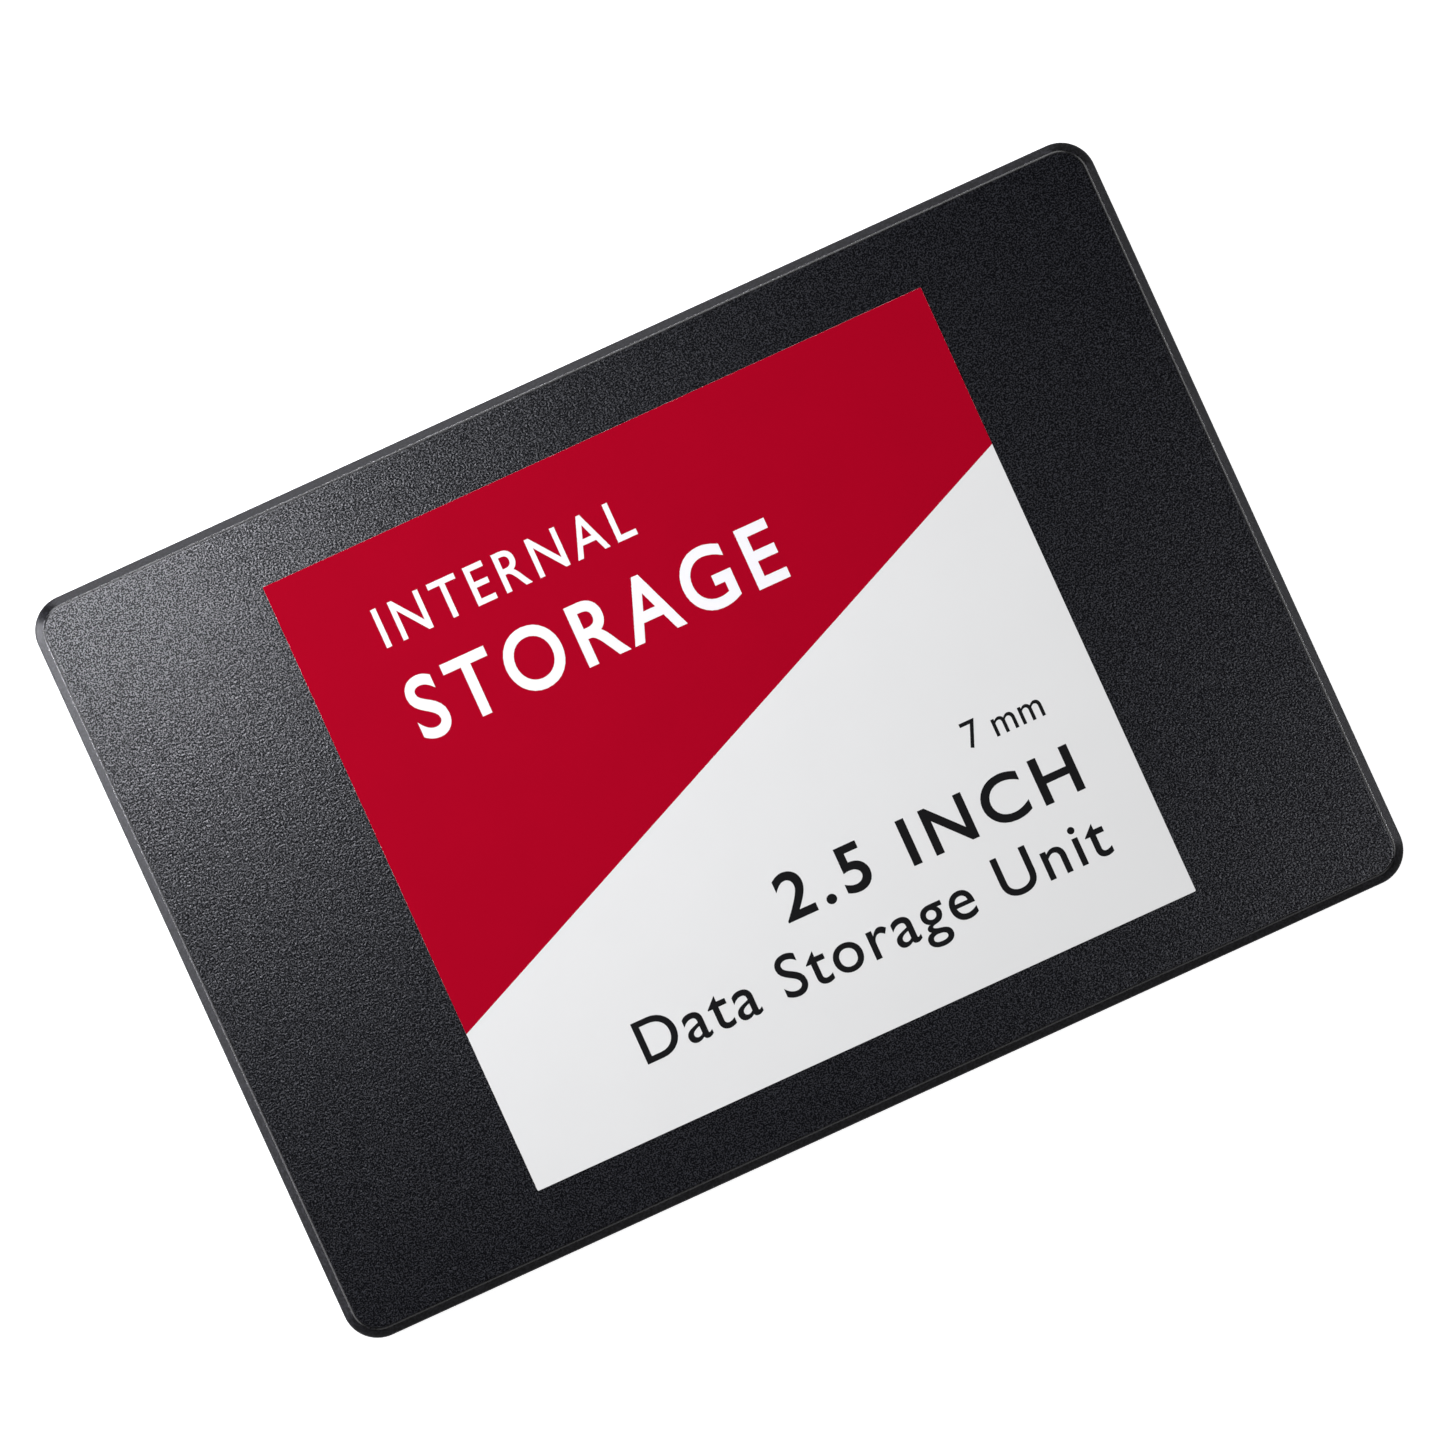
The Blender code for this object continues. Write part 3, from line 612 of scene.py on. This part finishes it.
def makeCase():
    sizes = caseSizes
    low, high = (driveLow.x, driveLow.y, 0), (driveHigh.x, driveHigh.y, caseTop)
    case = addRoundedSlab("caseShell", low, high)
    with editing(case, "EDGE"):
        pickEdges(case, lambda a, b: max(a.z, b.z) < hair)
        bpy.ops.mesh.bevel(offset=shell["footRound"], segments=5, affect="EDGES")
        pickEdges(case, lambda a, b: min(a.z, b.z) > caseTop - hair)
        bpy.ops.mesh.bevel(offset=shell["seamEdge"], segments=2, affect="EDGES")
        bpy.ops.mesh.select_mode(type="FACE")
        pickFaces(case, lambda c, n: n.z > 0.99)
        bpy.ops.mesh.inset(thickness=shell["wall"] - shell["seamEdge"])
        pushOut(shell["floor"] - caseTop)
    sunk = shell["floor"] / 2
    for spot in screwSpots:
        join(case, addPin("boss", spot, sizes["boss"], sunk, sizes["bossTop"]))
    for spot in boardSpots:
        join(case, addPin("standoff", spot, sizes["standoff"], sunk, sizes["standoffTop"]))
    hole = mountHole
    for x in hole["along"]:
        for side in (1, -1):
            inner = side * (driveHigh.y - hole["bossInset"])
            outer = side * (driveHigh.y - shell["wall"] / 2)
            low = (x - hole["bossHalf"], min(inner, outer), sunk)
            high = (x + hole["bossHalf"], max(inner, outer), hole["bossTop"])
            join(case, addBlock("boss", low, high))
    for spot in screwSpots:
        carve(case, addPin("bore", spot, sizes["headBore"], -shell["past"], sizes["headSeat"], 56))
        carve(case, addPin("bore", spot, sizes["shankBore"], -shell["past"], sizes["shankTop"]))
    for spot in boardSpots:
        carve(case, addPin("bore", spot, sizes["boardBore"], sunk, sizes["boardBoreTop"]))
    carve(case, windowCutter(window["caseDepth"]))
    carve(case, rearRecess())
    for x in hole["along"]:
        for side in (1, -1):
            bottom = (x, side * (driveHigh.y - hole["bottomInset"]), 0)
            carve(case, addThreadCutter(hole["bottomDepth"], bottom, math.pi))
            wall = (x, side * driveHigh.y, hole["sideHeight"])
            carve(case, addThreadCutter(hole["sideDepth"], wall, -side * math.pi / 2))
    mend(case)
    smooth(case)
    coat(case, shellCoat)
    place(case, "case_shell", "bottom_case")


def addFilmSlab(name, low, high, corner):
    piece = addBlock(name, low, high)
    with editing(piece, "EDGE"):
        pickEdges(piece, lambda a, b: abs(a.z - b.z) > hair)
        bpy.ops.mesh.bevel(offset=corner, segments=8, affect="EDGES")
    return piece


rearLabel = {
    "corner": 1.2 * mm,
    "edge": 0.012 * mm,
    "gap": 0.2 * mm,  # between it and its recess
    "recess": 0.15 * mm,
    "margin": 26 * mm,  # where its lines start, along X
}


def rearRecess():
    gap = rearLabel["gap"]
    low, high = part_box("rear_label")
    low = (low.x - gap, low.y - gap, -shell["past"])
    high = (high.x + gap, high.y + gap, rearLabel["recess"])
    return addFilmSlab("recess", low, high, rearLabel["corner"] + gap)


makeCover()
print("cover made")
makeCase()
print("case made")


# labels

frontLabel = {
    "edge": 0.012 * mm,
    "corner": 0.12 * mm,
    "cutLeft": 14.85 * mm,  # height of the colour line above the label's lower left corner
    "cutRight": 42.35 * mm,
}


def makeFrontLabel():
    low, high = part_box("front_label")
    film = addFilmSlab("frontLabel", low, high, frontLabel["corner"])
    start = Vector((low.x, low.y + frontLabel["cutLeft"], 0))
    end = Vector((high.x, low.y + frontLabel["cutRight"], 0))
    across = Vector((start.y - end.y, end.x - start.x, 0)).normalized()
    with editing(film):
        bpy.ops.mesh.select_all(action="SELECT")
        bpy.ops.mesh.bisect(plane_co=start, plane_no=across)
    film.data.materials.append(paleInk)
    film.data.materials.append(redInk)
    for face in film.data.polygons:
        above = (face.center - start).dot(across) > 0
        face.material_index = 1 if above and face.normal.z > 0.5 else 0
    easeEdges(film, frontLabel["edge"], 2, 50)
    smooth(film)
    place(film, "label_print", "front_label")


ink = {
    "thick": 0.006 * mm,
    "sink": 0.001 * mm,
    "rawThick": 0.02,  # of the built-in font at size 1, before it is scaled
    "rawCap": 0.729,
    "rawJoin": 0.00001,
}


def printWords(
    name, words, cap, anchor, base, z, finish, slotName,
    side=1, align="LEFT", weight=0.0, spacing=1.0, squeeze=1.0,
):
    deselectAll()
    bpy.ops.object.text_add(location=(0, 0, 0))
    line = bpy.context.active_object
    line.name = name
    line.data.body = words
    line.data.size = 1.0
    line.data.resolution_u = 8
    line.data.offset = weight
    line.data.space_character = spacing
    line.data.extrude = ink["rawThick"] / 2
    bpy.ops.object.convert(target="MESH")
    line = bpy.context.active_object
    line.data.name = name
    with editing(line, "VERT"):
        bpy.ops.mesh.select_all(action="SELECT")
        bpy.ops.mesh.remove_doubles(threshold=ink["rawJoin"])
        bpy.ops.mesh.normals_make_consistent(inside=False)
    ends = [point.co.x for point in line.data.vertices]
    shift = min(ends) if align == "LEFT" else max(ends)
    line.data.transform(Matrix.Translation((-shift, 0, 0)))
    size = cap / ink["rawCap"]
    scale = Matrix.Diagonal((size * squeeze, size, ink["thick"] / ink["rawThick"], 1))
    lift = z + side * (ink["thick"] / 2 - ink["sink"])
    turn = Matrix.Rotation(0 if side > 0 else math.pi, 4, "Y")
    line.data.transform(Matrix.Translation((anchor, base, lift)) @ turn @ scale)
    line.data.materials.clear()
    line.data.materials.append(finish)
    place(line, slotName)


def makeFrontPrint():
    low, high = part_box("front_label")
    rows = [  # name, words, cap height, place from the top left corner, and how the words are set
        ("wordsInternal", "INTERNAL", 3.75, 7.6, -9.2, "LEFT", 0.006, 1.22, 0.86, whiteInk),
        ("wordsStorage", "STORAGE", 5.7, 7.3, -17.9, "LEFT", 0.016, 1.22, 0.88, whiteInk),
        ("wordsHeight", "7 mm", 2.5, 56.9, -38.0, "RIGHT", 0.004, 1.05, 0.92, blackInk),
        ("wordsSize", "2.5 INCH", 4.3, 57.4, -45.1, "RIGHT", 0.016, 1.2, 1.04, blackInk),
        ("wordsUnit", "Data Storage Unit", 4.0, 57.4, -51.2, "RIGHT", 0.006, 1.1, 1.0, blackInk),
    ]
    for name, words, cap, across, down, align, weight, spacing, squeeze, finish in rows:
        printWords(
            name, words, cap * mm, low.x + across * mm, high.y + down * mm, high.z,
            finish, "label_print",
            align=align, weight=weight, spacing=spacing, squeeze=squeeze,
        )


makeFrontLabel()
makeFrontPrint()
print("front label printed")


# screws, connector and rear label

screwHead = {
    "radius": 1.8 * mm,
    "low": 0.15 * mm,
    "high": 0.9 * mm,
    "crown": (0.12 * mm, 0.05 * mm),  # how its rounded edge steps in and up
    "flat": (0.35 * mm, 0.2 * mm),
    "shank": 0.78 * mm,
    "end": 5.2 * mm,
    "point": (0.3 * mm, 0.4 * mm),
    "star": 0.95 * mm,
    "starDepth": 0.45 * mm,
    "lobes": ((-0.3, 0.86), (-0.8, 0.93)),  # which points are drawn in, and by how much
    "edge": 0.03 * mm,
}


def makeCaseScrews():
    head = screwHead
    crownIn, crownUp = head["crown"]
    flatIn, flatUp = head["flat"]
    pointIn, pointUp = head["point"]
    profile = [
        (head["radius"] - flatIn, head["low"]),
        (head["radius"] - crownIn, head["low"] + crownUp),
        (head["radius"], head["low"] + flatUp),
        (head["radius"], head["high"]),
        (head["shank"], head["high"]),
        (head["shank"], head["end"] - pointUp),
        (head["shank"] - pointIn, head["end"]),
    ]
    first = addTurned("caseScrew", (0, 0), profile, 56)
    star = addPin("star", (0, 0), head["star"], -mm, head["low"] + head["starDepth"], 36)
    for waist, pull in head["lobes"]:
        with editing(star, "VERT"):
            pickPoints(star, lambda p: math.cos(6 * math.atan2(p.y, p.x)) < waist)
            bpy.ops.transform.resize(value=(pull, pull, 1), center_override=(0, 0, 0))
    carve(first, star)
    easeEdges(first, head["edge"], 2, 40)
    smooth(first)
    coat(first, screwSteel)
    for number, spot in enumerate(screwSpots, 1):
        screw = first if number == len(screwSpots) else copyPiece(first, f"caseScrew{number}")
        screw.name = screw.data.name = f"caseScrew{number}"
        screw.data.transform(Matrix.Translation((spot.x, spot.y, 0)))
        place(screw, "screw_steel", f"case_screw_{number}")


connectorEdge = 0.06 * mm


def makeHousing():
    housing = copyPiece(nodes["connector_housing"], "connectorBody")
    housing.parent = None
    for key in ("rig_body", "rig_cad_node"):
        del housing[key]
    with editing(housing, "VERT"):
        bpy.ops.mesh.select_all(action="SELECT")
        bpy.ops.mesh.remove_doubles(threshold=hair)
        bpy.ops.mesh.dissolve_limited(angle_limit=math.radians(2))
    easeEdges(housing, connectorEdge)
    smooth(housing)
    place(housing, "connector_plastic", "connector_housing")


contact = {
    "thick": 0.15 * mm,
    "bend": 42.25 * mm,  # where the strip turns down behind the tongue, along X
    "lean": 0.3 * mm,
    "lead": 0.09 * mm,
    "edge": 0.025 * mm,
}


def makeContact(name, low, high):
    under = high.z - contact["thick"]
    strip = addBlock(name, (contact["bend"], low.y, under), high)
    with editing(strip):
        pickFaces(strip, lambda c, n: n.x < -0.9)
        lean = -contact["lean"]
        bpy.ops.mesh.extrude_region_move(TRANSFORM_OT_translate={"value": (lean, 0, low.z - under)})
        back = low.x - contact["bend"] - lean
        bpy.ops.mesh.extrude_region_move(TRANSFORM_OT_translate={"value": (back, 0, 0)})
        bpy.ops.mesh.select_mode(type="EDGE")
        end, top = high.x - hair, high.z - hair
        pickEdges(strip, lambda a, b: min(a.x, b.x) > end and min(a.z, b.z) > top)
        bpy.ops.mesh.bevel(offset=contact["lead"], segments=3, affect="EDGES")
    easeEdges(strip, contact["edge"])
    smooth(strip)
    strip.data.materials.append(contactGold)
    return strip


def makeContacts():
    for kind, count in (("signal", 7), ("power", 15)):
        for number in range(1, count + 1):
            node = f"{kind}_contact_{number}"
            place(makeContact(f"{kind}Contact{number}", *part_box(node)), "contact_gold", node)


makeCaseScrews()
makeHousing()
makeContacts()
print("screws and connector made")


def makeRearLabel():
    low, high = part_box("rear_label")
    film = addFilmSlab("rearLabel", low, high, rearLabel["corner"])
    easeEdges(film, rearLabel["edge"], 2, 50)
    smooth(film)
    film.data.materials.append(paleInk)
    place(film, "rear_label_film", "rear_label")
    rows = [
        ("rearWordsUnit", "Data Storage Unit", 3.0, 13.0, 0.004),
        ("rearWordsSize", "2.5 INCH   7 mm", 2.2, 9.0, 0.0),
    ]
    for name, words, cap, base, weight in rows:
        printWords(
            name, words, cap * mm, rearLabel["margin"], base * mm, low.z,
            blackInk, "rear_label_film", side=-1, weight=weight, squeeze=0.9,
        )


makeRearLabel()
print("rear label made")


# studio

studio = {
    "viewWidth": 124.55 * mm,
    "turn": math.radians(24.52),
    "aside": 0.28 * mm,
    "upward": 1.53 * mm,
    "cameraHeight": 0.6,
    "floorDrop": 0.02 * mm,
    "floorGlow": 0.72,
    "cool": (0.975, 0.98, 1.045),
    "small": (20, 20),
    "rimHeight": 3.6,  # below the cover's top, so that these lights reach only its rim
    "rimSlim": 6.4,
    "edgePanel": (110, 80),
    "softAway": 1.1,
    "softHeight": 0.62,
    "softSize": (1.2, 0.7),
    "softWatts": 6.05,
    "softShares": ((1, 0, 1.05), (0, 1, 1.15), (-1, 0, 1.0), (0, -1, 0.35)),
    "worldGlow": 0.02,
}


def addCamera():
    camera = bpy.data.cameras.new("camera")
    camera.type = "ORTHO"
    camera.ortho_scale = studio["viewWidth"]
    camera.clip_start = 0.01
    camera.clip_end = 10
    obj = bpy.data.objects.new("camera", camera)
    bpy.context.scene.collection.objects.link(obj)
    turn = Matrix.Rotation(-studio["turn"], 3, "Z")
    aim = turn @ Vector((studio["aside"], studio["upward"], 0))
    obj.location = aim + Vector((0, 0, studio["cameraHeight"]))
    obj.rotation_euler = (0, 0, -studio["turn"])
    bpy.context.scene.camera = obj


def addPanel(name, place, size, watts, target, colour=(1, 1, 1)):
    light = bpy.data.lights.new(name, "AREA")
    light.shape = "RECTANGLE"
    light.size, light.size_y = size
    light.energy = watts
    light.color = colour
    obj = bpy.data.objects.new(name, light)
    bpy.context.scene.collection.objects.link(obj)
    obj.location = place
    obj.rotation_euler = (Vector(target) - Vector(place)).to_track_quat("-Z", "Y").to_euler()
    obj.visible_camera = False


def addFloor():
    deselectAll()
    bpy.ops.mesh.primitive_plane_add(size=4, location=(0, 0, -studio["floorDrop"]))
    floor = bpy.context.active_object
    floor.name = "floor"
    settle(floor)
    paper = Finish(
        "paper", Roughness=0.9, Specular_IOR_Level=0.1,
        Emission_Color=(1, 1, 1, 1), Emission_Strength=studio["floorGlow"],
    )
    cloud = paper.noise(0.2, 2.0)
    paper.feed("Base Color", paper.blend(cloud, (0.93, 0.93, 0.93), (0.95, 0.95, 0.95)))
    floor.data.materials.append(paper.material)


def addLights():
    small, edgePanel = studio["small"], studio["edgePanel"]
    z, slim = studio["rimHeight"], studio["rimSlim"]
    rows = [  # name, place, size, watts and target, in millimetres
        ("keyLight", (-46.1, 39.5, 130), small, 0.080, (-46.1, 39.5, 0)),
        ("fillLight", (73, -49, 200), small, 0.036, (73, -49, 0)),
        ("rimLeft", (-295, 52, z), (60, slim), 0.86, (-50, 46, z)),
        ("rimCorner", (-277, 140, z), (110, slim), 1.5, (-50, 35, z)),
        ("rimTop", (-50, 385, z), (120, slim), 0.74, (-50, 35, z)),
        ("rimRight", (430, -45, z), (120, slim), 0.36, (50, -45, z)),
        ("edgeTop", (-110, 285, 257), edgePanel, 0.32, (-60, 35, 7)),
        ("edgeLeft", (-295, 80, 252), edgePanel, 0.25, (-50, 45, 7)),
    ]
    for name, spot, size, watts, target in rows:
        spot, size, target = (tuple(value * mm for value in row) for row in (spot, size, target))
        addPanel(name, spot, size, watts, target, studio["cool"])
    away, height = studio["softAway"], studio["softHeight"]
    for number, (dx, dy, share) in enumerate(studio["softShares"]):
        spot, watts = (dx * away, dy * away, height), studio["softWatts"] * share
        addPanel(f"softPanel{number}", spot, studio["softSize"], watts, (0, 0, 0))


def addWorld():
    world = bpy.data.worlds.new("studio")
    world.use_nodes = True
    tree = world.node_tree
    sky = tree.nodes["Background"]
    sky.inputs["Color"].default_value = (0.93, 0.94, 0.95, 1)
    sky.inputs["Strength"].default_value = studio["worldGlow"]
    backdrop = tree.nodes.new("ShaderNodeBackground")  # what shows past the floor
    backdrop.inputs["Color"].default_value = (1, 1, 1, 1)
    seen = tree.nodes.new("ShaderNodeLightPath")
    mix = tree.nodes.new("ShaderNodeMixShader")
    tree.links.new(seen.outputs["Is Camera Ray"], mix.inputs[0])
    tree.links.new(sky.outputs[0], mix.inputs[1])
    tree.links.new(backdrop.outputs[0], mix.inputs[2])
    tree.links.new(mix.outputs[0], tree.nodes["World Output"].inputs[0])
    bpy.context.scene.world = world
    bpy.context.scene.view_settings.view_transform = "Standard"


addCamera()
addFloor()
addLights()
addWorld()
print("studio set")
